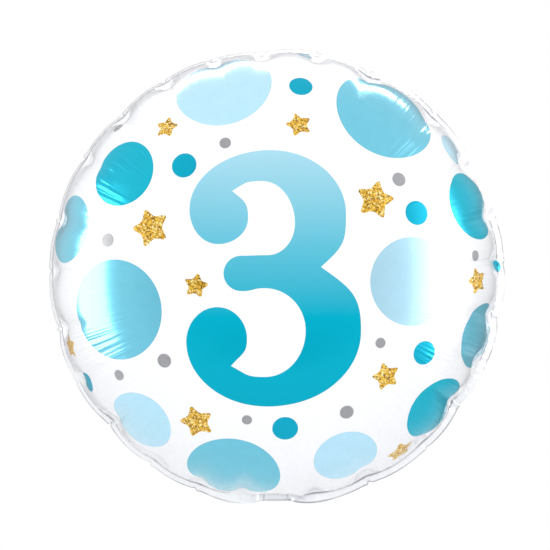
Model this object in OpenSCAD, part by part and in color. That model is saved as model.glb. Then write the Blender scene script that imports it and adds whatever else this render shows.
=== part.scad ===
// Round foil balloon, inflated. Two film discs are heat sealed to each other round the rim.
// At the bottom the seal is left open as a neck, which runs down into a flat tail. Two clear
// valve films lie between the foil films in the tail, pass through the neck and stand up
// inside the envelope. The tail is folded back behind the balloon at the neck.
// The printed face looks along -Y, +Z is up, and the origin is the middle of the neck's fold.

/* [Envelope] */
// Diameter of each film disc before it is inflated
flat_d = 457; // [430:1:480]
// Width of the heat seal round the rim
seal_w = 8; // [4:0.5:10]
// Thickness drawn for the foil films
film_t = 0.5; // [0.4:0.05:0.8]
// Steps in each panel's inflated profile
profile_steps = 36; // [24:2:48]

/* [Neck and tail] */
// Width of the neck, which is the straight stretch of the rim
neck_w = 27; // [22:1:34]
// Distance from the fold's axis to the neck's straight edge
fold_gap = 1; // [0.9:0.1:2]
// Width of the tail over most of its length
tail_w = 34; // [28:1:44]
// Length of the tail from its fold
tail_l = 80; // [60:1:100]
// Length over which the neck widens into the tail
flare_l = 22; // [14:1:30]
// Corner radius at the tail's free end
tail_corner_r = 8; // [4:1:12]
// Radius of the curl that the tail's film has taken
curl_r = 170; // [150:5:260]
// Angle of the folded tail above the horizontal at its fold
tail_lift = 6; // [2:1:9]
// Width of the heat seal across the tail's free end
end_seal_w = 5; // [4:1:8]
// Diameter of the inflation hole
hole_d = 10; // [8:1:14]
// Distance from the fold to the inflation hole, along the film
hole_from_fold = 60; // [45:1:64]

/* [Valve] */
// Thickness drawn for each clear valve film
valve_t = 0.2; // [0.15:0.05:0.3]
// Width of the valve films in the neck
valve_neck_w = 22; // [18:1:24]
// Width of the valve films in the tail and at their inner mouth
valve_w = 28; // [24:1:30]
// Length of the valve films inside the envelope
valve_l = 65; // [45:1:80]
// Gap between the valve's hinge line and the stretch fixed in the neck
valve_gap = 0.6; // [0.5:0.1:1]
// Gap between the two valve films inside the envelope
valve_slit = 0.1; // [0.06:0.02:0.2]

/* [Hidden] */
$fn = 96;
// Length of an inflated panel's profile, from crown to rim, over its radius
profile_ratio = 1.31103;
seam_r = (flat_d / 2 - seal_w) / profile_ratio;
rim_r = seam_r + seal_w;
// The rim's circle is cut straight across over the neck's width
centre_z = fold_gap + sqrt(rim_r * rim_r - neck_w * neck_w / 4);
seam_z = centre_z - seam_r;
valve_neck_top = seam_z + 1;
valve_hinge_z = valve_neck_top + valve_gap;
slope_step = 90 / profile_steps;
white_ink = [0.96, 0.97, 0.98];
back_ink = [0.90, 0.93, 0.96];
clear_film = [0.80, 0.88, 0.92, 0.6];

// Height of the profile above the seam plane, where its slope is i steps from the crown
function profile_h(i) =
    i >= profile_steps ? 0
    : profile_h(i + 1) + seam_r / 2 * sqrt(sin((i + 0.5) * slope_step)) * slope_step * PI / 180;

// A point of the profile, raised by t along its outward normal
function profile_point(i, t) =
    [seam_r * sqrt(sin(i * slope_step)) + t * sin(i * slope_step),
     profile_h(i) + t * cos(i * slope_step)];

// Half of the envelope: the inflated dome and its flat sealed rim, bulging towards -Y
module half_envelope() {
    inside = [for (i = [0:profile_steps]) profile_point(i, 0)];
    outside = [for (i = [profile_steps - 1:-1:0]) profile_point(i, film_t)];
    rim = [[rim_r, 0], [rim_r, film_t], [seam_r + film_t, film_t]];
    translate([0, 0, centre_z])
        rotate([90, 0, 0])
            rotate_extrude($fn = 180)
                polygon(concat(inside, rim, outside));
}

// What the neck takes out of one half: the straight edge, and a pocket for a valve film
module neck_cut() {
    translate([-neck_w, -film_t - 1, fold_gap - 4])
        cube([2 * neck_w, film_t + 2, 4]);
    translate([-valve_neck_w / 2, -valve_t, fold_gap - 1])
        cube([valve_neck_w, valve_t + 1, valve_neck_top - fold_gap + 1]);
}

module open_half_envelope() {
    difference() {
        half_envelope();
        neck_cut();
    }
}

module front_panel() {
    color(white_ink)
        open_half_envelope();
}

module back_panel() {
    color(back_ink)
        mirror([0, 1, 0])
            open_half_envelope();
}

// Outline of a tail film, laid flat from its fold towards +Y, with square shoulders at the end
module flared_outline(start_w, end_w, length) {
    polygon([[-start_w / 2, 0], [start_w / 2, 0],
             [end_w / 2, flare_l], [end_w / 2, length],
             [-end_w / 2, length], [-end_w / 2, flare_l]]);
}

// The same outline with round corners at its free end
module tail_outline() {
    flared_outline(neck_w, tail_w, tail_l - tail_corner_r);
    translate([-tail_w / 2 + tail_corner_r, tail_l - tail_corner_r])
        square([tail_w - 2 * tail_corner_r, tail_corner_r]);
    for (side = [-1, 1])
        translate([side * (tail_w / 2 - tail_corner_r), tail_l - tail_corner_r])
            circle(r = tail_corner_r);
}

module valve_tail_outline() {
    flared_outline(valve_neck_w, valve_w, tail_l - end_seal_w);
}

// A curled sheet between two depths of the tail's stack, cut to the outline it is given.
// Depth 0 is the middle of the stack, and depths above it are nearer to the envelope.
module curled_sheet(low, high) {
    rotate([tail_lift, 0, 0])
        intersection() {
            translate([0, 0, curl_r])
                rotate([0, 90, 0])
                    difference() {
                        cylinder(r = curl_r - low, h = 2 * tail_w, center = true);
                        cylinder(r = curl_r - high, h = 3 * tail_w, center = true);
                    }
            translate([0, 0, -film_t - 1])
                linear_extrude(height = tail_l / 2)
                    children();
        }
}

// The hole is square to the film, so its axis passes through the curl's own axis
module inflation_hole() {
    hole_angle = hole_from_fold / curl_r * 180 / PI;
    rotate([tail_lift, 0, 0])
        translate([0, 0, curl_r])
            rotate([hole_angle, 0, 0])
                translate([0, 0, -curl_r - 2])
                    cylinder(d = hole_d, h = 4);
}

module tail_front_film() {
    color(white_ink)
        difference() {
            curled_sheet(-film_t, 0) tail_outline();
            curled_sheet(-valve_t, 1) valve_tail_outline();
            inflation_hole();
        }
}

module tail_back_film() {
    color(back_ink)
        difference() {
            curled_sheet(0, film_t) tail_outline();
            curled_sheet(-1, valve_t) valve_tail_outline();
        }
}

module valve_front_tail() {
    color(clear_film)
        difference() {
            curled_sheet(-valve_t, 0) valve_tail_outline();
            inflation_hole();
        }
}

module valve_back_tail() {
    color(clear_film)
        curled_sheet(0, valve_t) valve_tail_outline();
}

// The stretch of a valve film that is sealed to a foil film in the neck
module valve_neck_strip() {
    translate([-valve_neck_w / 2, -valve_t, fold_gap])
        cube([valve_neck_w, valve_t, valve_neck_top - fold_gap]);
}

module valve_front_neck() {
    color(clear_film)
        valve_neck_strip();
}

module valve_back_neck() {
    color(clear_film)
        mirror([0, 1, 0])
            valve_neck_strip();
}

// The stretch of a valve film that stands free inside the envelope, and widens to its mouth
module valve_inner_strip() {
    translate([0, -valve_slit / 2, valve_hinge_z])
        rotate([90, 0, 0])
            linear_extrude(height = valve_t)
                polygon([[-valve_neck_w / 2, 0], [valve_neck_w / 2, 0],
                         [valve_w / 2, valve_l / 2], [valve_w / 2, valve_l],
                         [-valve_w / 2, valve_l], [-valve_w / 2, valve_l / 2]]);
}

module valve_front_inner() {
    color(clear_film)
        valve_inner_strip();
}

module valve_back_inner() {
    color(clear_film)
        mirror([0, 1, 0])
            valve_inner_strip();
}

front_panel();
back_panel();
tail_front_film();
tail_back_film();
valve_front_tail();
valve_back_tail();
valve_front_neck();
valve_back_neck();
valve_front_inner();
valve_back_inner();
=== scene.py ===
"""Looks of a round foil balloon with a printed numeral.

Two film discs, heat sealed to each other round the rim, are blown up from the flat by a small
film solver, so that the rim gathers into puckers as real film does. The print is a thin layer of
ink on each disc, cut from the disc's own mesh. The tail is folded back behind the balloon, and
the clear valve films run through it into the envelope.
"""
import math

import bpy
import numpy as np
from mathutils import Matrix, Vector, geometry, kdtree


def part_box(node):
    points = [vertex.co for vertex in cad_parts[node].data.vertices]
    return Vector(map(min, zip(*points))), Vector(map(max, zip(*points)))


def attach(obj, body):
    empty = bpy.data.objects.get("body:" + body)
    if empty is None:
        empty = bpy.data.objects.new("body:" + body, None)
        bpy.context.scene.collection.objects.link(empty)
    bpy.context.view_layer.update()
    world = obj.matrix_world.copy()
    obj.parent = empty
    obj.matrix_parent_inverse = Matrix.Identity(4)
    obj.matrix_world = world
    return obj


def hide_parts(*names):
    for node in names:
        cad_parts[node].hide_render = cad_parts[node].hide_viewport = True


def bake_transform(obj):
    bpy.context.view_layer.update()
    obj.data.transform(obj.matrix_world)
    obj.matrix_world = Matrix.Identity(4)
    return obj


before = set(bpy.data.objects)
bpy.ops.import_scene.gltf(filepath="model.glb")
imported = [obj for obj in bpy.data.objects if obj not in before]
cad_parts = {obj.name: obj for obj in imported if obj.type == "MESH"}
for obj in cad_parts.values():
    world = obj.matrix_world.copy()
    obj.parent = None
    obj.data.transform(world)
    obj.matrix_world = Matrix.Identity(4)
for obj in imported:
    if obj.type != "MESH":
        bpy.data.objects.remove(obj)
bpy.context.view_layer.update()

MM = 0.001
TURN = 2 * math.pi

# ---- Sizes, in millimetres ------------------------------------------------------------------

panel_low, panel_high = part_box("front_panel")
RIM_R = (panel_high.x - panel_low.x) / 2 / MM
CENTRE_Z = panel_high.z / MM - RIM_R
SEAL_W = 8.0
SEAM_R = RIM_R - SEAL_W
# Length of an inflated disc's profile from its crown to its seam, over the seam's radius
PROFILE_RATIO = 1.31103
# Distances from a disc's middle, measured along the film
SEAM_S = SEAM_R * PROFILE_RATIO
FLAT_R = SEAM_S + SEAL_W

NECK_W = 27.0
NECK_EDGE_Z = 0.5
VALVE_NECK_W = 22.0
HALF_SEAL_GAP = 0.08

FRONT, BACK = 0, 1
SIDES = ("front", "back")


def ease(low, high, value):
    """0 below low, 1 above high, and a smooth step between them."""
    t = np.clip((value - low) / (high - low), 0, 1)
    return t * t * (3 - 2 * t)


# ---- The film solver ------------------------------------------------------------------------
# Films are arrays of points [side, ring, sector, xyz] in millimetres about the balloon's centre.

INNER_S = 60.0
# Sectors, rings of dome, rings of seal, steps and bending stiffness of each pass
PASSES = [(192, 28, 1, 80, 0.002), (384, 57, 3, 120, 0.009)]
PRESSURE = 0.003 / 12
DAMPING = 0.93
SWEEPS = 3
TOP_SPEED = 3
# How fast the seam settles into one plane, and to its mean radius
SEAM_FLATTENING, SEAM_PULL = 0.995, 0.1
# The first film's dents at the gathers, its waves round the rim, and its unevenness
DENT_S, DENT_DEPTH, DENT_WIDTH = 110, 5.0, 0.03
WAVE_HEIGHT, WAVE_COUNTS = 1.2, (19, 23, 29, 37, 43, 53)
UNEVENNESS = 0.15
# The force that draws the film in at the gathers, and the distances over which it sets in
CREASE_FORCE, CREASE_WIDTH = 0.045, 0.022
CREASE_S = (150, 215)
# How far the seam settles beyond the ideal shape's, and where on the dome that sets in
RIM_SPREAD, SPREAD_S = 5.0, 115
# How far the dome's puckers are drawn back towards the ideal shape. The seam's are drawn out.
DOME_SMOOTHED, SEAM_SMOOTHED, SMOOTHED_S = 0.5, -0.15, 190
# Share of the rim's surplus width that is taken up by creases too fine for the solver
FINE_CREASES, FINE_CREASES_S = 0.8, (100, 190)
# How far the sealed rim is turned back, in degrees, and by how much that varies round the rim
TIP, TIP_SWING = 55, 18
# The dome is ideal up to INNER_S, and the solver's from here on
CROWN_END_S = 95
# Where the rim gathers: degrees from +X towards +Z as seen from the front, and strength
GATHERS = [
    (93.6, 0.9), (79, 0.7), (64.6, 1.0), (45.6, 0.8), (29.9, 1.0), (15.4, 0.8), (3.4, 0.7),
    (-10.6, 0.9), (-23, 0.7), (-35.5, 1.0), (-49, 0.7), (-65.9, 0.9), (-80, 0.7), (-98.5, 0.8),
    (-110, 0.7), (-123.3, 0.8), (-138, 1.0), (-152, 0.7), (-166, 0.9), (179, 0.7), (165.6, 0.8),
    (148.6, 0.8), (134, 0.9), (119.9, 0.8), (106, 0.7),
]


def ideal_dome(s):
    """Radius and height of a perfectly inflated disc, at distances s from its middle."""
    root = np.linspace(0, math.sqrt(math.pi / 2), 4001)
    middle, step = (root[1:] + root[:-1]) / 2, root[1]
    bend = np.sqrt(np.sin(middle**2))
    along = np.concatenate([[0], np.cumsum(SEAM_R * middle * step / bend)])
    drop = np.concatenate([[0], np.cumsum(SEAM_R * middle * step * bend)])
    radius = np.interp(s, along, SEAM_R * np.sqrt(np.sin(root**2)))
    height = drop[-1] - np.interp(s, along, drop)
    sealed = s > SEAM_S
    return np.where(sealed, SEAM_R + s - SEAM_S, radius), np.where(sealed, 0, height)


def gather_profile(theta, width, power):
    """How strongly the rim is drawn in at each angle."""
    drawn = np.zeros(len(theta))
    for degrees, strength in GATHERS:
        off = (theta - math.radians(degrees) + math.pi) % TURN - math.pi
        drawn += strength * np.exp(-np.abs(off / width) ** power)
    return drawn


def first_film(rings, theta, rng):
    """The ideal shape, with small dents for the creases to grow from."""
    radius, height = ideal_dome(rings)
    weight = ease(DENT_S, SEAM_S, rings)[:, None]
    dents = gather_profile(theta, DENT_WIDTH, 1.5)
    waves = np.zeros(len(theta))
    for count in WAVE_COUNTS:
        waves += rng.normal() * np.sin(count * theta + rng.random() * TURN)
    film = np.zeros((2, len(rings), len(theta), 3))
    for side, out in ((FRONT, -1), (BACK, 1)):
        radial = radius[:, None] - DENT_DEPTH * weight * dents
        film[side, :, :, 0] = radial * np.cos(theta)
        film[side, :, :, 2] = radial * np.sin(theta)
        film[side, :, :, 1] = out * height[:, None] + WAVE_HEIGHT * weight**2 * waves
        film[side, :, :, 1] += weight * rng.normal(0, UNEVENNESS, (len(rings), len(theta)))
    return film


def film_lengths(rings, sectors):
    """Lengths of the film's own stretches: round each ring, between rings, and diagonally."""
    radius, _ = ideal_dome(rings)
    taken_up = 1 + (FINE_CREASES - 1) * ease(*FINE_CREASES_S, rings)
    width = 2 * math.sin(math.pi / sectors) * (rings + (radius - rings) * taken_up)
    step = np.diff(rings)
    diagonal = np.hypot(step, (width[1:] + width[:-1]) / 2)
    return [length[None, :, None, None] for length in (width, step, diagonal)]


def pull(a, b, length, share):
    """How far each end of some stretches moves, so that they come back to their own length."""
    gap = b - a
    size = np.sqrt((gap * gap).sum(-1, keepdims=True)) + 1e-9
    return gap * (share / 2 * (size - length) / size)


def keep_lengths(film, width, step, diagonal):
    """One sweep over every stretch of film. Every second one is done at a time."""
    sectors = film.shape[2]
    for first in (0, 1):
        here = np.arange(first, sectors, 2)
        ahead = (here + 1) % sectors
        move = pull(film[:, :, here], film[:, :, ahead], width, 1.0)
        film[:, :, here] += move
        film[:, :, ahead] -= move
    for first in (0, 1):
        count = (film.shape[1] - first) // 2
        lower, upper = slice(first, first + 2 * count, 2), slice(first + 1, first + 2 * count, 2)
        move = pull(film[:, lower], film[:, upper], step[:, lower][:, :count], 1.0)
        film[:, lower] += move
        film[:, upper] -= move
        for turn in (1, -1):
            other = np.roll(film, -turn, 2)[:, upper]
            move = pull(film[:, lower], other, diagonal[:, lower][:, :count], 0.5)
            film[:, lower] += move
            film[:, upper] -= np.roll(move, turn, 2)


def smooth_bends(film, share):
    """The film's small resistance to bending."""
    film += share * ((np.roll(film, -1, 2) + np.roll(film, 1, 2)) / 2 - film)
    film[:, 1:-1] += share * ((film[:, 2:] + film[:, :-2]) / 2 - film[:, 1:-1])


def outward(film):
    """Unit normals of both films, out of the envelope."""
    across = np.gradient(film, axis=1)
    around = np.roll(film, -1, 2) - np.roll(film, 1, 2)
    normals = np.cross(across, around)
    normals /= np.sqrt((normals * normals).sum(-1, keepdims=True)) + 1e-9
    normals[BACK] *= -1
    return normals


def neck_points(rings, theta):
    """Which sectors are in the neck, and where the neck's flat film lies."""
    off = theta - 1.5 * math.pi
    sectors = np.flatnonzero(np.abs(off) <= math.asin(NECK_W / 2 / FLAT_R))
    place = np.zeros((len(rings), len(sectors), 3))
    place[..., 0] = rings[:, None] * np.sin(off[sectors])
    place[..., 2] = (FLAT_R - rings)[:, None] + NECK_EDGE_Z - CENTRE_Z
    return sectors, place


def relax(film, rings, seam, steps, bending):
    """Lets gas pressure and the film's own lengths settle against each other."""
    sectors = film.shape[2]
    theta = np.arange(sectors) * TURN / sectors
    lengths = film_lengths(rings, sectors)
    push = PRESSURE * TURN / sectors * rings * np.gradient(rings)
    push[seam:] = 0
    drawn = gather_profile(theta, CREASE_WIDTH, 2)
    crease = (ease(*CREASE_S, rings)[:, None] * (drawn - drawn.mean()))[None, :, :, None]
    inward = -CREASE_FORCE * crease * np.stack([np.cos(theta), 0 * theta, np.sin(theta)], -1)
    neck, neck_film = neck_points(rings[seam:], theta)
    crown = film[:, :2].copy()
    speed = np.zeros_like(film)
    for _ in range(steps):
        before = film.copy()
        speed = DAMPING * speed + push[None, :, None, None] * outward(film) + inward
        film = film + speed
        for _ in range(SWEEPS):
            smooth_bends(film, bending)
            keep_lengths(film, *lengths)
            sealed = (film[FRONT, seam:] + film[BACK, seam:]) / 2
            sealed[..., 1] *= SEAM_FLATTENING
            mean = np.hypot(sealed[0, :, 0], sealed[0, :, 2]).mean()
            sealed[..., ::2] *= 1 + SEAM_PULL * ((SEAM_R + RIM_SPREAD) / mean - 1)
            sealed[:, neck] = neck_film
            film[:, seam:] = sealed
            film[:, :2] = crown
        speed = film - before
        fastest = np.sqrt((speed * speed).sum(-1)).max()
        speed *= min(1, TOP_SPEED / fastest)
    return film


def cubic(before, a, b, after, t):
    """A smooth curve from a to b."""
    third = 3 * (a - b) + after - before
    second = 2 * before - 5 * a + 4 * b - after
    return a + t / 2 * (b - before + t * (second + t * third))


def read_film(film, rings, seam, s, theta):
    """Points of one side's film, at distances s and angles theta. The seam stays a sharp bend."""
    turn = theta / TURN * film.shape[1]
    column = np.floor(turn).astype(int)
    along = (turn - column)[:, None]
    row = np.clip(np.searchsorted(rings, s, side="right") - 1, 0, len(rings) - 2)
    share = ((s - rings[row]) / (rings[row + 1] - rings[row]))[:, None]

    def on_ring(r):
        r = np.clip(r, 0, len(rings) - 1)
        return cubic(*(film[r, (column + k) % film.shape[1]] for k in (-1, 0, 1, 2)), along)

    a, b = on_ring(row), on_ring(row + 1)
    first, last = (row == 0) | (row == seam), (row + 1 == seam) | (row + 2 == len(rings))
    before = np.where(first[:, None], 2 * a - b, on_ring(row - 1))
    after = np.where(last[:, None], 2 * b - a, on_ring(row + 2))
    return cubic(before, a, b, after, share)


def away_from_neck(theta):
    """0 at the neck, where the film stays flat, and 1 from a little to each side of it."""
    return ease(math.radians(5), math.radians(20), np.abs(theta - 1.5 * math.pi))


def settle(film, rings):
    """Draws the dome part of the way back to the ideal shape, so that its puckers are shallower."""
    theta = np.arange(film.shape[2]) * TURN / film.shape[2]
    radius, height = ideal_dome(rings)
    radius = (radius + RIM_SPREAD * ease(SPREAD_S, SEAM_S, rings))[:, None]
    at_seam = ease(SMOOTHED_S, SEAM_S, rings)[:, None]
    share = (DOME_SMOOTHED + (SEAM_SMOOTHED - DOME_SMOOTHED) * at_seam) * away_from_neck(theta)
    for side, out in ((FRONT, -1), (BACK, 1)):
        ideal = np.stack([radius * np.cos(theta), out * height[:, None] + 0 * theta,
                          radius * np.sin(theta)], -1)
        film[side] += share[..., None] * (ideal - film[side])


def tip_rim(film, seam):
    """Turns the sealed rim back about the seam, least at the lower right. It stays straight at
    the neck."""
    theta = np.arange(film.shape[2]) * TURN / film.shape[2]
    tip = np.radians(TIP - TIP_SWING * np.cos(theta + math.pi / 4))
    tip *= away_from_neck(theta)
    radial = np.stack([np.cos(theta), 0 * theta, np.sin(theta)], -1)
    across = film[:, seam + 1:] - film[:, seam:seam + 1]
    out, back = (across * radial).sum(-1), across[..., 1]
    film[:, seam + 1:] += ((np.cos(tip) - 1) * out - np.sin(tip) * back)[..., None] * radial
    film[:, seam + 1:, :, 1] += np.sin(tip) * out + (np.cos(tip) - 1) * back


def blow_up():
    """Both films after the last pass, their rings, and which ring is the seam."""
    rng = np.random.default_rng(5)
    film = None
    for sectors, dome_rings, seal_rings, steps, bending in PASSES:
        theta = np.arange(sectors) * TURN / sectors
        rings = np.concatenate([np.linspace(INNER_S, SEAM_S, dome_rings + 1),
                                np.linspace(SEAM_S, FLAT_R, seal_rings + 1)[1:]])
        if film is None:
            film = first_film(rings, theta, rng)
        else:
            s, around = (grid.ravel() for grid in np.meshgrid(rings, theta, indexing="ij"))
            film = np.stack([read_film(one, old_rings, old_seam, s, around) for one in film])
            film = film.reshape(2, len(rings), sectors, 3)
        film = relax(film, rings, dome_rings, steps, bending)
        old_rings, old_seam = rings, dome_rings
    settle(film, old_rings)
    tip_rim(film, old_seam)
    return film, old_rings, old_seam


FILM, FILM_RINGS, FILM_SEAM = blow_up()


def film_points(side, flat):
    """Where points of a flat disc, as seen from its printed side, come to lie on the balloon."""
    across = flat[:, 0] * (1 if side == FRONT else -1)
    s = np.hypot(across, flat[:, 1])
    theta = np.arctan2(flat[:, 1], across) % TURN
    radius, height = ideal_dome(np.minimum(s, SEAM_S))
    out = -1 if side == FRONT else 1
    crown = np.stack([radius * np.cos(theta), out * height, radius * np.sin(theta)], 1)
    relaxed = read_film(FILM[side], FILM_RINGS, FILM_SEAM, np.clip(s, INNER_S, FLAT_R), theta)
    share = ease(INNER_S, CROWN_END_S, s)[:, None]
    return crown * (1 - share) + relaxed * share


# ---- The print, drawn on the flat disc ------------------------------------------------------

# Ink, centre across and up, diameter
DOTS = [
    ("pale", -43.7, 156.7, 81), ("pale", 105, -5, 68), ("pale", 58, -150.5, 54),
    ("pale", -112, -122, 56), ("pale", 160, 114, 30), ("pale", 28, 211.5, 14),
    ("sky", 92, 135, 87), ("sky", -125.5, -27.5, 79), ("sky", -182, 40.5, 60),
    ("sky", 183, -54.5, 60), ("sky", -36, -168.5, 80),
    ("teal", -122.5, 82, 55), ("teal", 171, 60.5, 61), ("teal", 139, -116.5, 62),
    ("teal", 218, 8.5, 12),
    ("deep", -70, 84, 19.5), ("deep", 20.5, 153, 19), ("deep", 109, 48, 19),
    ("deep", 116.5, -61, 19), ("deep", 7.5, -119, 20), ("deep", -170.5, -97, 19),
    ("silver", -38.5, 101, 9), ("silver", -141.5, 132, 10), ("silver", -132, 27.5, 11),
    ("silver", 95.5, 74, 11), ("silver", -85, -65.5, 11), ("silver", -125.5, -80.5, 9),
    ("silver", 79.5, -51.5, 8), ("silver", 55, -106, 11), ("silver", -22, -111.5, 8),
    ("silver", 166, 16, 9),
]
# Centre across and up, outer diameter, and how far it is turned, in degrees
STARS = [
    (-87, 118, 18, -9), (18, 116, 19, 16), (-95, 36, 28, 19), (75.5, 57, 28, -12),
    (-59.5, -8, 17.5, -11), (168, -5, 21, 16), (-185.5, -64.5, 21, 12),
    (-61.5, -115, 26, 17), (85, -78, 21, 16), (111, -157, 25, 20),
]
# The numeral's outline: points with the directions in which it comes in and leaves, in degrees
# from +X towards +Z. A pair that differs is a corner.
NUMERAL = [
    (-32.6, 62.9, 142, 32), (-10, 70.4, 0, 0), (14.5, 38.5, -90, -90), (-6, 14.8, 180, 180),
    (-25.5, 14.4, 180, 180), (-38.8, 1.2, -90, -90), (-25.5, -12, 0, 0), (-8, -9.8, 0, 0),
    (22.5, -41.5, -90, -90), (-8, -76.6, 180, 180), (-33.4, -68.3, 152, 50),
    (-21.3, -47.5, 90, 90), (-43.5, -24, 180, 180), (-67.2, -51, -90, -90),
    (-6, -100.2, 0, 0), (64.2, -43, 90, 90), (33.9, 6, 145, 42), (52.8, 46.5, 90, 90),
    (-4, 94.6, 180, 180), (-64.7, 49.8, -90, -90), (-43, 23.1, 0, 0), (-20.5, 42.5, 90, 90),
]
OUTLINE_STEP = 1.3
# Length of a quarter circle's handles, over its radius
ROUND_HANDLE = 0.5523
# A star's points and hollows before they are rounded, over its outer radius, and how far along
# its edges the rounding reaches
STAR_REACH, STAR_ROUNDING = (1.2, 0.62), (0.42, 0.25)


def bezier(t, start, a, b, end):
    """A cubic curve from start to end, with a and b as its handles."""
    return (1 - t)**3 * start + 3 * t * (1 - t)**2 * a + 3 * t**2 * (1 - t) * b + t**3 * end


def curve(start, end, leave, arrive, step):
    """A curve like a stretch of an ellipse, from start up to end, which it leaves out."""
    chord = end - start
    out = np.array([math.cos(math.radians(leave)), math.sin(math.radians(leave))])
    into = np.array([math.cos(math.radians(arrive)), math.sin(math.radians(arrive))])
    a = start + out * ROUND_HANDLE * abs(chord @ out)
    b = end - into * ROUND_HANDLE * abs(chord @ into)
    t = np.linspace(0, 1, max(3, round(np.hypot(*chord) / step)), endpoint=False)[:, None]
    return bezier(t, start, a, b, end)


def numeral_outline():
    ends = NUMERAL[1:] + NUMERAL[:1]
    return np.concatenate([curve(np.array(p[:2]), np.array(q[:2]), p[3], q[2], OUTLINE_STEP)
                           for p, q in zip(NUMERAL, ends)])


def dot_outline(x, z, diameter):
    spacing = 0.8 if diameter < 25 else 1.6
    t = np.arange(round(math.pi * diameter / spacing))
    t = t * TURN / len(t)
    return np.stack([x + diameter / 2 * np.cos(t), z + diameter / 2 * np.sin(t)], 1)


def star_outline(x, z, diameter, turned):
    """A five-pointed star with round points and shallow round hollows."""
    points = []
    for i in range(10):
        reach = diameter / 2 * STAR_REACH[i % 2]
        angle = math.radians(90 + turned + 36 * i)
        points.append(np.array([math.cos(angle), math.sin(angle)]) * reach)
    outline = []
    for i, corner in enumerate(points):
        before, after = points[i - 1], points[(i + 1) % 10]
        cut = STAR_ROUNDING[i % 2]
        a, b = corner + cut * (before - corner), corner + cut * (after - corner)
        for t in np.linspace(0, 1, 6):
            outline.append((1 - t)**2 * a + 2 * t * (1 - t) * corner + t**2 * b)
    return np.array(outline) + [x, z]


def print_outlines():
    """Every printed shape, as (ink, outline)."""
    shapes = [("numeral", numeral_outline())]
    shapes += [(ink, dot_outline(x, z, diameter)) for ink, x, z, diameter in DOTS]
    shapes += [("stars", star_outline(*star)) for star in STARS]
    return shapes


# ---- Meshes from the flat -------------------------------------------------------------------

def mesh_flat(outlines, loose, spacing):
    """Triangles over the first outline, cut along every other. Returns the flat points, the
    triangles, and for each triangle the numbers of the outlines that it lies in."""
    tree = kdtree.KDTree(sum(len(o) for o in outlines))
    points, faces = [], []
    for outline in outlines:
        faces.append(list(range(len(points), len(points) + len(outline))))
        for x, z in outline:
            tree.insert((x, z, 0), len(points))
            points.append((x, z))
    tree.balance()
    for (x, z), gap in zip(loose, spacing):
        if tree.find((x, z, 0))[2] > 0.5 * gap:
            points.append((x, z))
    made = geometry.delaunay_2d_cdt([Vector(p) for p in points], [], faces, 0, 1e-4)
    kept = [(face, inside) for face, inside in zip(made[2], made[5]) if 0 in inside]
    flat = np.array([tuple(p) for p in made[0]])
    return flat, np.array([face for face, _ in kept]), [inside for _, inside in kept]


def disc_points():
    """Points over a disc, closer together towards the rim, and the spacing at each."""
    rings, s = [], 0.0
    while s < SEAM_S - 2.2:
        gap = 4 - 2.5 * float(ease(50, 205, s))
        rings.append((s, gap))
        s += gap
    rings += [(SEAM_S + off, 1.5) for off in (-1.4, -0.5, 0, 0.5, 1.6, 3.2, 4.8, 6.4)]
    points, spacing = [], []
    for s, gap in rings:
        count = max(1, round(TURN * s / gap))
        for t in (np.arange(count) + 0.37) * TURN / count:
            points.append((s * math.cos(t), s * math.sin(t)))
            spacing.append(gap)
    return points, spacing


def normals_of(points, triangles):
    """Each point's unit normal, from the triangles round it."""
    a, b, c = (points[triangles[:, i]] for i in range(3))
    face = np.cross(b - a, c - a)
    normals = np.zeros_like(points)
    for i in range(3):
        np.add.at(normals, triangles[:, i], face)
    return normals / (np.linalg.norm(normals, axis=1, keepdims=True) + 1e-12)


def new_piece(name, points, triangles, normals, film_place, material):
    """A smooth piece from points in metres. Points that no triangle uses are dropped."""
    used, corners = np.unique(triangles, return_inverse=True)
    mesh = bpy.data.meshes.new(name)
    mesh.from_pydata(points[used].tolist(), [], corners.reshape(-1, 3).tolist())
    mesh.shade_smooth()
    mesh.normals_split_custom_set_from_vertices(normals[used].tolist())
    place = mesh.attributes.new("film_place", "FLOAT_VECTOR", "POINT")
    place.data.foreach_set("vector", film_place[used].astype(np.float32).ravel())
    mesh.materials.append(material)
    piece = bpy.data.objects.new(name, mesh)
    bpy.context.scene.collection.objects.link(piece)
    return piece


# ---- Materials ------------------------------------------------------------------------------

def srgb(text):
    """A colour given as RRGGBB, as the linear values that shaders take."""
    parts = [int(text[i:i + 2], 16) / 255 for i in (0, 2, 4)]
    return [p / 12.92 if p <= 0.04045 else ((p + 0.055) / 1.055) ** 2.4 for p in parts] + [1]


def add(tree, kind, links=(), **settings):
    """A node with its settings, and its inputs linked from other nodes' outputs."""
    made = tree.nodes.new("ShaderNode" + kind)
    for name, value in settings.items():
        setattr(made, name, value)
    for name, source in dict(links).items():
        if hasattr(source, "node"):
            tree.links.new(source, made.inputs[name])
        else:
            made.inputs[name].default_value = source
    return made


def colour_ramp(tree, factor, stops, interpolation="LINEAR"):
    ramp = add(tree, "ValToRGB", {"Fac": factor})
    ramp.color_ramp.interpolation = interpolation
    elements = ramp.color_ramp.elements
    while len(elements) < len(stops):
        elements.new(1)
    for element, (position, colour) in zip(elements, stops):
        element.position, element.color = position, colour
    return ramp.outputs["Color"]


# Creases across and along the film, where they start and are full, over the disc's radius
CREASE_GRAIN = (52, 52, 3)
CREASES_FROM, CREASES_FULL = 0.42, 0.72
CREASE_DEPTH = 0.6


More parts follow.
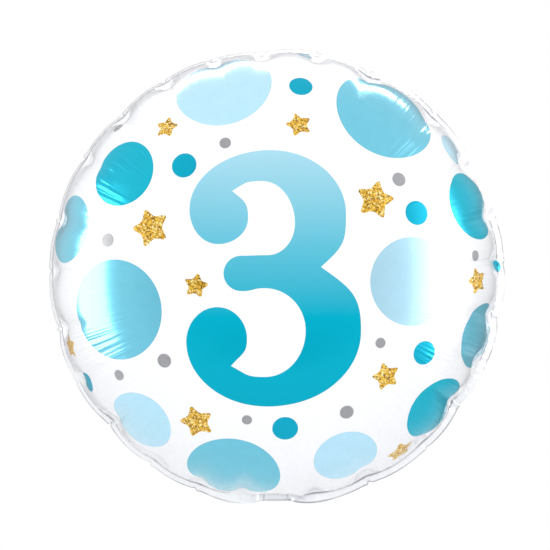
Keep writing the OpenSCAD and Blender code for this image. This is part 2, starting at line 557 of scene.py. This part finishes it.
def film_bump(tree):
    """Fine creases that run in from the rim, in patches."""
    place = add(tree, "Attribute", attribute_name="film_place").outputs["Vector"]
    stretched = add(tree, "VectorMath", {0: place, 1: CREASE_GRAIN}, operation="MULTIPLY")
    creases = add(tree, "TexNoise", {"Vector": stretched.outputs[0], "Detail": 1.0, "Scale": 1.0})
    patches = add(tree, "TexNoise", {"Vector": place, "Scale": 5.0, "Detail": 1.0})
    distance = add(tree, "SeparateXYZ", {0: place}).outputs["Z"]
    near_rim = add(tree, "MapRange", {"Value": distance, "From Min": CREASES_FROM,
                                      "From Max": CREASES_FULL},
                   interpolation_type="SMOOTHSTEP")
    patchy = add(tree, "MapRange", {"Value": patches.outputs["Fac"], "From Min": 0.3,
                                    "From Max": 0.5}, interpolation_type="SMOOTHSTEP")
    weight = add(tree, "Math", {0: near_rim.outputs[0], 1: patchy.outputs[0]}, operation="MULTIPLY")
    height = add(tree, "Math", {0: creases.outputs["Fac"], 1: weight.outputs[0]},
                 operation="MULTIPLY")
    return add(tree, "Bump", {"Height": height.outputs[0], "Distance": CREASE_DEPTH * MM,
                              "Strength": 1.0}).outputs["Normal"]


def seam_shade_and_foil_edge(tree):
    """1 on the plain film, and less along the seam, where the dark line is painted shade, and at
    the cut edge, where the dark band is partly the bare foil edge and partly painted shade.
    """
    place = add(tree, "Attribute", attribute_name="film_place").outputs["Vector"]
    distance = add(tree, "SeparateXYZ", {0: place}).outputs["Z"]
    seam = SEAM_S / FLAT_R
    # Painted shade: a dark line along the seam, and a dark band at the cut edge that is partly the
    # bare foil edge
    levels = [(0.9, 1), (seam - 0.005, 1), (seam - 0.001, 0.14), (seam + 0.0014, 0.14),
              (seam + 0.005, 1), (0.995, 1), (0.9975, 0.12), (1.0, 0.12)]
    line = colour_ramp(tree, distance, [(at, (v, v, v * 1.02, 1)) for at, v in levels])
    patches = add(tree, "TexNoise", {"Vector": place, "Scale": 4.0, "Detail": 3.0})
    plain = add(tree, "MapRange", {"Value": patches.outputs["Fac"], "From Min": 0.45,
                                   "From Max": 0.62})
    return add(tree, "MixRGB", {"Fac": plain.outputs[0], "Color1": line,
                                "Color2": (1, 1, 1, 1)}).outputs[0]


def paint(tree, shader, colour):
    """Gives the shader a colour from nodes, darkened by painted shade along the seam and at the cut
    edge.
    """
    shaded = add(tree, "VectorMath", {0: colour, 1: seam_shade_and_foil_edge(tree)}, operation="MULTIPLY")
    tree.links.new(shaded.outputs[0], shader.inputs["Base Color"])


def shiny(name, roughness, metallic, coat, **more):
    """A printed film with the film's creases: the material, its tree, and its shader."""
    material = bpy.data.materials.new(name)
    material.use_nodes = True
    tree = material.node_tree
    shader = tree.nodes["Principled BSDF"]
    values = {"Roughness": roughness, "Metallic": metallic, "Coat Weight": coat,
              "Coat Roughness": 0.08, **more}
    for socket, value in values.items():
        shader.inputs[socket].default_value = value
    normal = film_bump(tree)
    tree.links.new(normal, shader.inputs["Normal"])
    tree.links.new(normal, shader.inputs["Coat Normal"])
    return material, tree, shader


def object_place(tree, scale):
    place = add(tree, "TexCoord").outputs["Object"]
    return add(tree, "VectorMath", {0: place, 1: (scale,) * 3}, operation="MULTIPLY").outputs[0]


def mottled(tree, shader, colour, share, scale):
    """A colour that varies faintly over the print."""
    noise = add(tree, "TexNoise", {"Vector": object_place(tree, scale), "Detail": 3.0})
    low = [c * (1 - share) for c in colour[:3]] + [1]
    high = [min(1, c * (1 + share)) for c in colour[:3]] + [1]
    paint(tree, shader, colour_ramp(tree, noise.outputs["Fac"], [(0.3, low), (0.7, high)]))


def white_film():
    material, tree, shader = shiny("white_film", 0.24, 0.0, 0.6)
    mottled(tree, shader, srgb("F4F5F7"), 0.015, 60)
    return material


def dot_ink(name, colour, coat, specular):
    material, tree, shader = shiny(name, 0.2, 0.35, coat, **{"Specular IOR Level": specular})
    mottled(tree, shader, srgb(colour), 0.02, 25)
    return material


def numeral_ink():
    """The numeral's colour deepens from its top to its bottom."""
    material, tree, shader = shiny("numeral_ink", 0.25, 0.3, 0.0, **{"Specular IOR Level": 0.1})
    height = add(tree, "SeparateXYZ", {0: add(tree, "TexCoord").outputs["Object"]}).outputs["Z"]
    middle = CENTRE_Z * MM
    share = add(tree, "MapRange", {"Value": height, "From Min": middle - 0.105,
                                   "From Max": middle + 0.1})
    stops = [(0.0, srgb("00A6BF")), (0.2, srgb("00AEC8")), (0.36, srgb("00B8D4")),
             (0.62, srgb("66C8DF")), (1.0, srgb("B2E1F0"))]
    paint(tree, shader, colour_ramp(tree, share.outputs[0], stops))
    return material


def silver_ink():
    material, tree, shader = shiny("silver_ink", 0.35, 0.2, 0.0)
    mottled(tree, shader, srgb("9A9A9D"), 0.08, 120)
    return material


def gold_ink():
    """Glitter: grains that each have their own colour."""
    material, tree, shader = shiny("gold_ink", 0.3, 0.25, 0.2)
    grains = add(tree, "TexVoronoi", {"Vector": object_place(tree, 1000), "Scale": 1.1})
    shade = add(tree, "SeparateColor", {0: grains.outputs["Color"]}).outputs[0]
    stops = [(0.0, srgb("6E4A0A")), (0.12, srgb("B07E16")), (0.3, srgb("D8A322")),
             (0.62, srgb("EFC544")), (0.86, srgb("FFF0AC"))]
    paint(tree, shader, colour_ramp(tree, shade, stops, "CONSTANT"))
    return material


def clear_film():
    material, tree, shader = shiny("clear_film", 0.12, 0.0, 0.0, Alpha=0.35)
    mottled(tree, shader, srgb("E8F1F5"), 0.03, 60)
    return material


WHITE, CLEAR = white_film(), clear_film()
INKS = {
    "numeral": numeral_ink(),
    "pale": dot_ink("pale_ink", "B4E2F5", 0.8, 0.5),
    "sky": dot_ink("sky_ink", "68C2D8", 0.6, 0.4),
    "teal": dot_ink("teal_ink", "12B0C8", 0.12, 0.12),
    "deep": dot_ink("deep_ink", "00A6C2", 0.12, 0.1),
    "silver": silver_ink(),
    "stars": gold_ink(),
}

# ---- The envelope ---------------------------------------------------------------------------

INK_LIFT = 0.05


def film_place(flat, side):
    """Direction from the disc's middle, and distance over its radius, for the film's creases."""
    s = np.hypot(flat[:, 0], flat[:, 1])
    safe = np.maximum(s, 1e-6)
    return np.stack([flat[:, 0] / safe, flat[:, 1] / safe + 3 * side, s / FLAT_R], 1)


def to_row_frame(points):
    return (points + [0, 0, CENTRE_Z]) * MM


def make_side(side, flat, triangles, inside, inks):
    """One film disc with its print."""
    points = film_points(side, flat)
    normals = normals_of(points, triangles)
    s = np.hypot(flat[:, 0], flat[:, 1])
    apart = HALF_SEAL_GAP * ease(SEAM_S - 8, SEAM_S, s) * (1 - ease(FLAT_R - 0.4, FLAT_R - 0.02, s))
    points = points + normals * apart[:, None]
    normals = normals_of(points, triangles)
    place = film_place(flat, side)
    name = SIDES[side]
    film = new_piece(f"{name}_film", to_row_frame(points), triangles, normals, place, WHITE)
    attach(film, "envelope")
    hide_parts(f"{name}_panel")
    lifted = to_row_frame(points + INK_LIFT * normals)
    for ink, material in INKS.items():
        numbers = {i for i, other in enumerate(inks) if other == ink}
        printed = triangles[[not numbers.isdisjoint(found) for found in inside]]
        layer = new_piece(f"{name}_ink_{ink}", lifted, printed, normals, place, material)
        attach(layer, "envelope")


def make_envelope():
    rim = np.arange(960) * TURN / 960
    disc = FLAT_R * np.stack([np.cos(rim), np.sin(rim)], 1)
    shapes = print_outlines()
    points, spacing = disc_points()
    flat, triangles, inside = mesh_flat([disc] + [o for _, o in shapes], points, spacing)
    inks = [None] + [ink for ink, _ in shapes]
    for side in (FRONT, BACK):
        make_side(side, flat, triangles, inside, inks)


make_envelope()

# ---- The tail and the valve -----------------------------------------------------------------

TAIL_W = (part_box("tail_front_film")[1].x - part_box("tail_front_film")[0].x) / MM
TAIL_L = 83.2
TAIL_CORNER_R = 8.0
FLARE_L = 22.0
CURL_R = 170.0
LIFT = math.radians(6)
FOLD_L = 1.3
END_SEAL_W = 5.0
SIDE_SEAL_W = 3.0
HOLE_D = 10.0
HOLE_FROM_FOLD = 60.0
VALVE_W = 28.0
VALVE_HINGE_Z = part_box("valve_front_inner")[0].z / MM
VALVE_TOP_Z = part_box("valve_front_inner")[1].z / MM


def curl_point(u, depth):
    """Across the fold's axis and up, at distance u along the tail and at a depth in its stack."""
    angle = u / CURL_R
    y = (CURL_R - depth) * np.sin(angle)
    z = CURL_R - (CURL_R - depth) * np.cos(angle)
    return y * math.cos(LIFT) - z * math.sin(LIFT), y * math.sin(LIFT) + z * math.cos(LIFT)


def tail_points(flat, depth, neck_y):
    """Points of a film that comes down the neck, turns at the fold and runs back as the tail.
    The flat film's second coordinate is the distance below the fold, negative in the neck."""
    x, u = flat[:, 0], flat[:, 1]
    half = half_width(u, NECK_W, TAIL_W)
    sealed = np.maximum(ease(half - SIDE_SEAL_W, half - 0.8, np.abs(x)),
                        ease(TAIL_L - END_SEAL_W - 1, TAIL_L - END_SEAL_W + 1, u))
    depth = depth * (1 - 0.75 * sealed)
    wave = 0.35 * np.sin(u / 5.3 + 0.05 * x) + 0.25 * np.sin(x / 4.1 + u / 17)
    wave = ease(4, 25, u) * wave
    y, z = curl_point(np.maximum(u, FOLD_L), depth + wave)
    end_y, end_z = curl_point(np.full(len(u), FOLD_L), depth)
    t = np.clip((u + NECK_EDGE_Z) / (FOLD_L + NECK_EDGE_Z), 0, 1)
    start_y, start_z = neck_y, NECK_EDGE_Z
    down = start_z - 0.45 * (start_z - end_z) - 0.2
    back = end_y - 0.55 * end_y
    turn_y = bezier(t, start_y, start_y, back, end_y)
    turn_z = bezier(t, start_z, down, end_z - 0.1 * back, end_z)
    y = np.where(u < FOLD_L, turn_y, y)
    z = np.where(u < FOLD_L, turn_z, z)
    neck = u < -NECK_EDGE_Z
    y, z = np.where(neck, neck_y, y), np.where(neck, -u, z)
    return np.stack([x, y, z], 1) * MM


def half_width(u, start_w, end_w):
    """Half the width of a film that flares from the neck to its full width."""
    return start_w / 2 + (end_w - start_w) / 2 * np.clip(u / FLARE_L, 0, 1)


def strip_outline(start_u, end_u, start_w, end_w, corner_r):
    """Outline of a flaring strip, with round corners at its far end."""
    side = [(start_w / 2, start_u)]
    side += [(float(half_width(u, start_w, end_w)), u)
             for u in np.arange(max(start_u, 0) + 1, end_u - corner_r, 1.5)]
    for angle in np.linspace(0, math.pi / 2, 9 if corner_r else 1):
        side.append((end_w / 2 - corner_r * (1 - math.cos(angle)),
                     end_u - corner_r * (1 - math.sin(angle))))
    end = [(x, end_u) for x in np.linspace(side[-1][0], -side[-1][0], 16)[1:-1]]
    start = [(x, start_u) for x in np.linspace(-start_w / 2, start_w / 2, 16)[1:-1]]
    return np.array(side + end + [(-x, u) for x, u in reversed(side)] + start)


def strip_mesh(outline, hole=None):
    """Triangles over a strip, finer across the fold, with a round hole if it is given."""
    low, high = outline.min(0), outline.max(0)
    rows = np.concatenate([np.arange(low[1], -1, 1.4), np.arange(-1, 2.2, 0.16),
                           np.arange(2.3, high[1], 1.4)])
    rows = rows[(rows > low[1]) & (rows < high[1])]
    loose = [(x, u) for u in rows for x in np.arange(low[0], high[0], 1.4)]
    gaps = [0.3 if -1 <= u <= 2.2 else 1.2 for _, u in loose]
    outlines = [outline] if hole is None else [outline, dot_outline(0, *hole)]
    flat, triangles, inside = mesh_flat(outlines, loose, gaps)
    return flat, triangles[[1 not in found for found in inside]]


def add_strip(name, outline, hole, shape, material, nodes):
    """A strip of film from its flat outline, bent by shape, standing for CAD nodes."""
    flat, triangles = strip_mesh(outline, hole)
    points = shape(flat)
    place = np.stack([flat[:, 0] / 20, flat[:, 1] / 20, np.full(len(flat), 0.5)], 1)
    piece = new_piece(name, points, triangles, normals_of(points, triangles), place, material)
    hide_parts(*nodes)
    return piece


def across_fold(piece):
    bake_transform(piece)


def make_tail():
    """The tail's two foil films, and the valve films between them."""
    outline = strip_outline(-NECK_EDGE_Z, TAIL_L, NECK_W, TAIL_W, TAIL_CORNER_R)
    valve = strip_outline(-VALVE_HINGE_Z, TAIL_L - END_SEAL_W, VALVE_NECK_W, VALVE_W, 0)
    hole = (HOLE_FROM_FOLD, HOLE_D)
    for side, out in ((FRONT, -1), (BACK, 1)):
        name = SIDES[side]
        opening = hole if side == FRONT else None
        film = add_strip(
            f"tail_{name}", outline, opening,
            lambda flat: tail_points(flat, out * 0.3, out * HALF_SEAL_GAP),
            WHITE, [f"tail_{name}_film"])
        across_fold(film)
        film = add_strip(
            f"valve_{name}_lower", valve, opening,
            lambda flat: tail_points(flat, out * 0.1, out * HALF_SEAL_GAP / 3),
            CLEAR,
            [f"valve_{name}_tail", f"valve_{name}_neck"])
        across_fold(film)


def valve_flap_points(flat, y):
    """A valve film that stands in the envelope, with a slight bow that both films share."""
    x, up = flat[:, 0], flat[:, 1]
    bow = 0.5 * ease(0, 25, up) * np.sin(up / 13 + 0.4) * np.cos(x / 9)
    return np.stack([x, y * ease(0, 3, up) + bow, up + VALVE_HINGE_Z], 1) * MM


def make_valve_flaps():
    """The free ends of the valve films, which the gas presses together."""
    length = VALVE_TOP_Z - VALVE_HINGE_Z
    outline = strip_outline(0, length, VALVE_NECK_W, VALVE_W, 0)
    for name, y in (("front", -0.12), ("back", 0.12)):
        flap = add_strip(
            f"valve_{name}_flap", outline, None, lambda flat: valve_flap_points(flat, y),
            CLEAR, [f"valve_{name}_inner"])
        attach(flap, f"valve_{name}")


make_tail()
make_valve_flaps()

# ---- Camera, light and floor ----------------------------------------------------------------

CAMERA_AWAY = 2.2
VIEW_W = 0.4297
SENSOR_W = 36.0
FLOOR_Z, FLOOR_R = -0.55, 2.8
# Name, place, width, height, radiance, and whether it shows as a highlight
SOFT_BOXES = [
    ("left_box", (-1.25, -0.11, 0.2), 0.66, 1.1, 6.5, True),
    ("right_box", (1.25, -0.24, 0.2), 0.4, 1.1, 5.5, True),
    ("top_box", (0, 0.78, 1.2), 1.6, 0.2, 8, True),
    ("front_box", (0, -3.0, 0.9), 2.0, 1.6, 4.2, False),
    ("back_box", (0, 3.0, 0.9), 2.0, 1.6, 4.2, False),
]


def make_camera():
    data = bpy.data.cameras.new("camera")
    data.sensor_width = SENSOR_W
    data.lens = SENSOR_W * CAMERA_AWAY / VIEW_W
    camera = bpy.data.objects.new("camera", data)
    camera.location = (-0.0004, -CAMERA_AWAY, CENTRE_Z * MM)
    camera.rotation_euler = (math.pi / 2, 0, 0)
    bpy.context.scene.collection.objects.link(camera)
    bpy.context.scene.camera = camera


def soft_box(name, place, width, height, radiance, glossy):
    """A rectangular lamp that faces the balloon's centre. One that is glossy shows only as a
    highlight, and one that isn't gives only soft light."""
    data = bpy.data.lights.new(name, "AREA")
    data.shape, data.size, data.size_y = "RECTANGLE", width, height
    data.energy = radiance * math.pi * width * height
    lamp = bpy.data.objects.new(name, data)
    lamp.visible_glossy, lamp.visible_diffuse = glossy, not glossy
    lamp.location = place
    aim = Vector((0, 0, CENTRE_Z * MM)) - lamp.location
    lamp.rotation_euler = aim.to_track_quat("-Z", "Y").to_euler()
    bpy.context.scene.collection.objects.link(lamp)


def film_light(tree, direction, along, glossy):
    """What lights the film: a soft room, a glow and a dark corner, by direction."""
    share = add(tree, "MapRange", {"Value": along["Z"], "From Min": -1.0, "From Max": 1.0})
    grey = [(0.0, (0.8, 0.8, 0.81, 1)), (0.5, (1, 1, 1, 1)), (1.0, (1, 1, 1, 1))]
    upright = colour_ramp(tree, share.outputs[0], grey)
    depth = add(tree, "Math", {0: along["Y"]}, operation="ABSOLUTE").outputs[0]
    ends = colour_ramp(tree, depth, [(0.6, (1, 1, 1, 1)), (0.97, (0.3, 0.3, 0.31, 1))])
    room = add(tree, "VectorMath", {0: upright, 1: ends}, operation="MULTIPLY").outputs[0]
    # The glow is in front of the right lamp, so that its highlight fades in
    glow = add(tree, "MapRange", {"Value": along["X"], "From Min": 0.68, "From Max": 0.96},
               interpolation_type="SMOOTHSTEP").outputs[0]
    ahead = add(tree, "MapRange", {"Value": along["Y"], "From Min": 0.2, "From Max": 0.0})
    glow = add(tree, "Math", {0: glow, 1: ahead.outputs[0]}, operation="MULTIPLY").outputs[0]
    glow = add(tree, "Math", {0: glow, 1: glossy}, operation="MULTIPLY").outputs[0]
    lit = add(tree, "VectorMath", {0: glow, 1: (3, 3, 3), 2: room}, operation="MULTIPLY_ADD")
    # The dark corner is behind the lower right, and shows in the film beside the seam
    corner = add(tree, "VectorMath", {0: direction, 1: (0.62, 0.45, -0.64)},
                 operation="DOT_PRODUCT").outputs["Value"]
    dark = add(tree, "MapRange", {"Value": corner, "From Min": 0.55, "From Max": 0.85,
                                  "To Min": 0.0, "To Max": 0.65}).outputs[0]
    dark = add(tree, "Math", {0: dark, 1: glossy}, operation="MULTIPLY").outputs[0]
    return add(tree, "MixRGB", {"Fac": dark, "Color1": lit.outputs[0],
                                "Color2": (0.02, 0.02, 0.02, 1)}).outputs[0]


def make_world():
    """A pale studio. The backdrop beyond the balloon's back is pure white, and grey elsewhere.
    What lights the film is softer."""
    world = bpy.data.worlds.new("studio")
    world.use_nodes = True
    tree = world.node_tree
    light = tree.nodes["Background"]
    direction = add(tree, "TexCoord").outputs["Generated"]
    along = add(tree, "SeparateXYZ", {0: direction}).outputs
    rays = add(tree, "LightPath").outputs
    lit = film_light(tree, direction, along, rays["Is Glossy Ray"])
    tree.links.new(lit, light.inputs["Color"])
    grey = [(0.72, (0.6, 0.62, 0.64, 1)), (0.97, (1, 1, 1, 1))]
    backdrop = add(tree, "Background", {"Color": colour_ramp(tree, along["Y"], grey)})
    both = add(tree, "MixShader", {0: rays["Is Camera Ray"], 1: light.outputs[0],
                                   2: backdrop.outputs[0]})
    tree.links.new(both.outputs[0], tree.nodes["World Output"].inputs["Surface"])
    bpy.context.scene.world = world


def make_floor():
    """A pale round floor that fades out into the backdrop."""
    ring = np.linspace(0, TURN, 97)[:-1]
    points = [(FLOOR_R * math.cos(t), FLOOR_R * math.sin(t), FLOOR_Z) for t in ring]
    mesh = bpy.data.meshes.new("floor")
    mesh.from_pydata(points, [], [list(range(96))])
    material = bpy.data.materials.new("floor")
    material.use_nodes = True
    tree = material.node_tree
    shader = tree.nodes["Principled BSDF"]
    shader.inputs["Base Color"].default_value = (0.78, 0.79, 0.8, 1)
    shader.inputs["Roughness"].default_value = 0.8
    place = add(tree, "TexCoord").outputs["Object"]
    reach = add(tree, "VectorMath", {0: place}, operation="LENGTH").outputs["Value"]
    fade = add(tree, "MapRange", {"Value": reach, "From Min": 0.9, "From Max": 2.6},
               interpolation_type="SMOOTHSTEP")
    clear = add(tree, "BsdfTransparent")
    both = add(tree, "MixShader", {0: fade.outputs[0], 1: shader.outputs[0], 2: clear.outputs[0]})
    tree.links.new(both.outputs[0], tree.nodes["Material Output"].inputs["Surface"])
    mesh.materials.append(material)
    floor = bpy.data.objects.new("floor", mesh)
    bpy.context.scene.collection.objects.link(floor)


make_camera()
make_world()
make_floor()
for box in SOFT_BOXES:
    soft_box(*box)
bpy.context.scene.view_settings.view_transform = "Standard"
